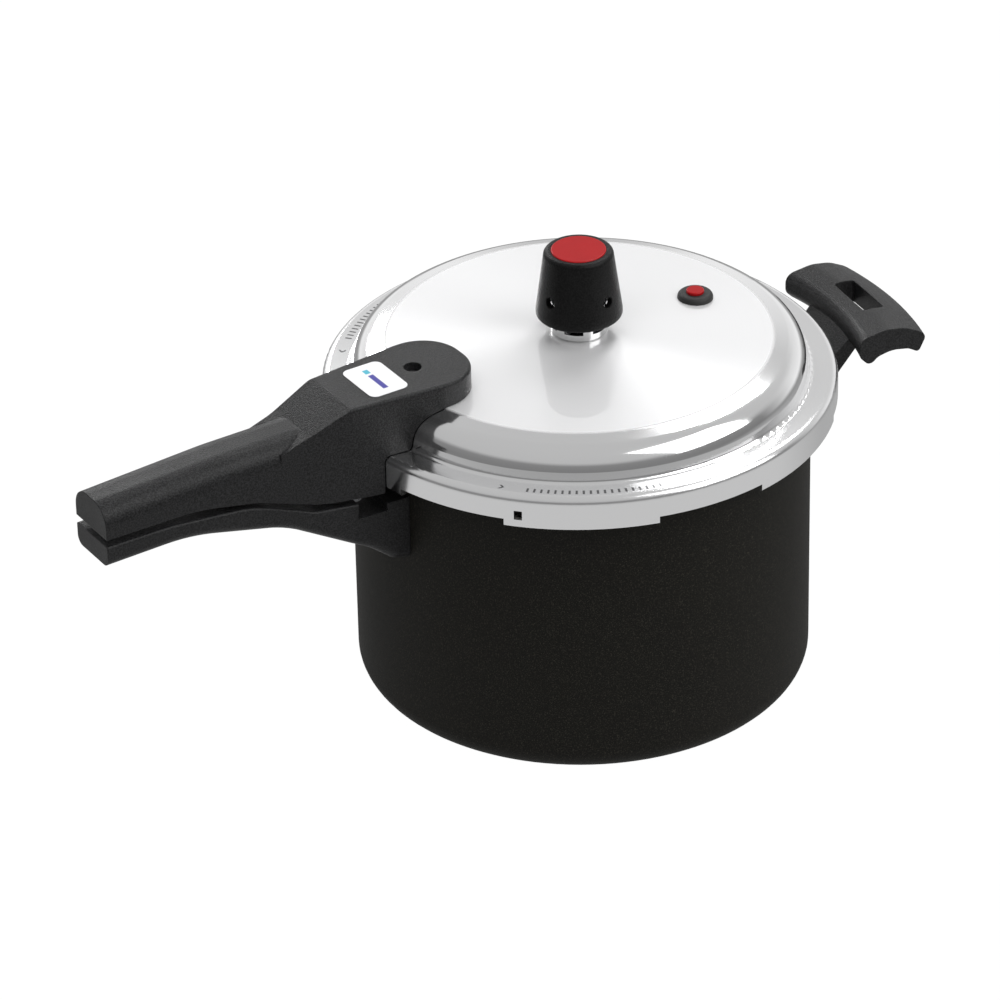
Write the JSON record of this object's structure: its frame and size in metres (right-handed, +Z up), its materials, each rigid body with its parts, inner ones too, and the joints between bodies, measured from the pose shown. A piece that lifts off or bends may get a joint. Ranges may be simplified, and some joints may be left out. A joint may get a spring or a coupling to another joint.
{
  "type": "stovetop pressure cooker",
  "caption": "Stovetop pressure cooker: coated pot with a long two-part handle and a helper handle, turning bayonet lid, lift-off weighted regulator and safety valve.",
  "frame": {"origin": "centre of the pot's flat base", "axes": "+Z up along the pot's axis, long handles towards -X, helper handle towards +X"},
  "size_m": [0.4052, 0.2276, 0.2069],
  "materials": {
    "coated_aluminium": "fine speckled non-stick coating",
    "polished_aluminium": "polished rim and shoulder, spun dome",
    "bakelite": "satin moulded",
    "seal_rubber": "matt",
    "black_rubber": "matt",
    "red_plastic": "gloss",
    "white_label": "gloss, plain",
    "plated_steel": "zinc plated",
    "vent_steel": "bright",
    "rivet_aluminium": "satin"
  },
  "bodies": {
    "pot": {"pot_shell": "coated_aluminium", "pot_handle": "bakelite", "pot_handle_bracket": "plated_steel", "pot_handle_rivets": "rivet_aluminium", "pot_handle_screw": "plated_steel", "helper_handle": "bakelite", "helper_handle_bracket": "plated_steel", "helper_handle_rivets": "rivet_aluminium", "helper_handle_screw": "plated_steel"},
    "seal": {"seal_ring": "seal_rubber"},
    "lid": {"lid_shell": "polished_aluminium", "lid_handle": "bakelite", "lid_handle_bracket": "plated_steel", "lid_handle_screws": "plated_steel", "handle_label": "white_label", "vent_tube": "vent_steel", "vent_guard": "vent_steel", "vent_nut": "vent_steel", "vent_strainer": "vent_steel", "valve_bush": "black_rubber"},
    "valve": {"valve_pin": "red_plastic"},
    "regulator": {"regulator_cover": "bakelite", "regulator_cap": "red_plastic", "regulator_weight": "plated_steel", "regulator_needle": "vent_steel"}
  },
  "joints": [
    {"name": "lid_lift", "type": "slide", "parent": "pot", "child": "seal", "axis": [0, 0, 1], "range_m": [0, 0.12]},
    {"name": "lid_turn", "type": "hinge", "parent": "seal", "child": "lid", "pos_m": [0, 0, 0.148], "axis": [0, 0, 1], "range_deg": [0, 30]},
    {"name": "valve_rise", "type": "slide", "parent": "lid", "child": "valve", "axis": [0, 0, 1], "range_m": [0, 0.004]},
    {"name": "regulator_lift", "type": "slide", "parent": "lid", "child": "regulator", "axis": [0, 0, 1], "range_m": [0, 0.03]}
  ]
}
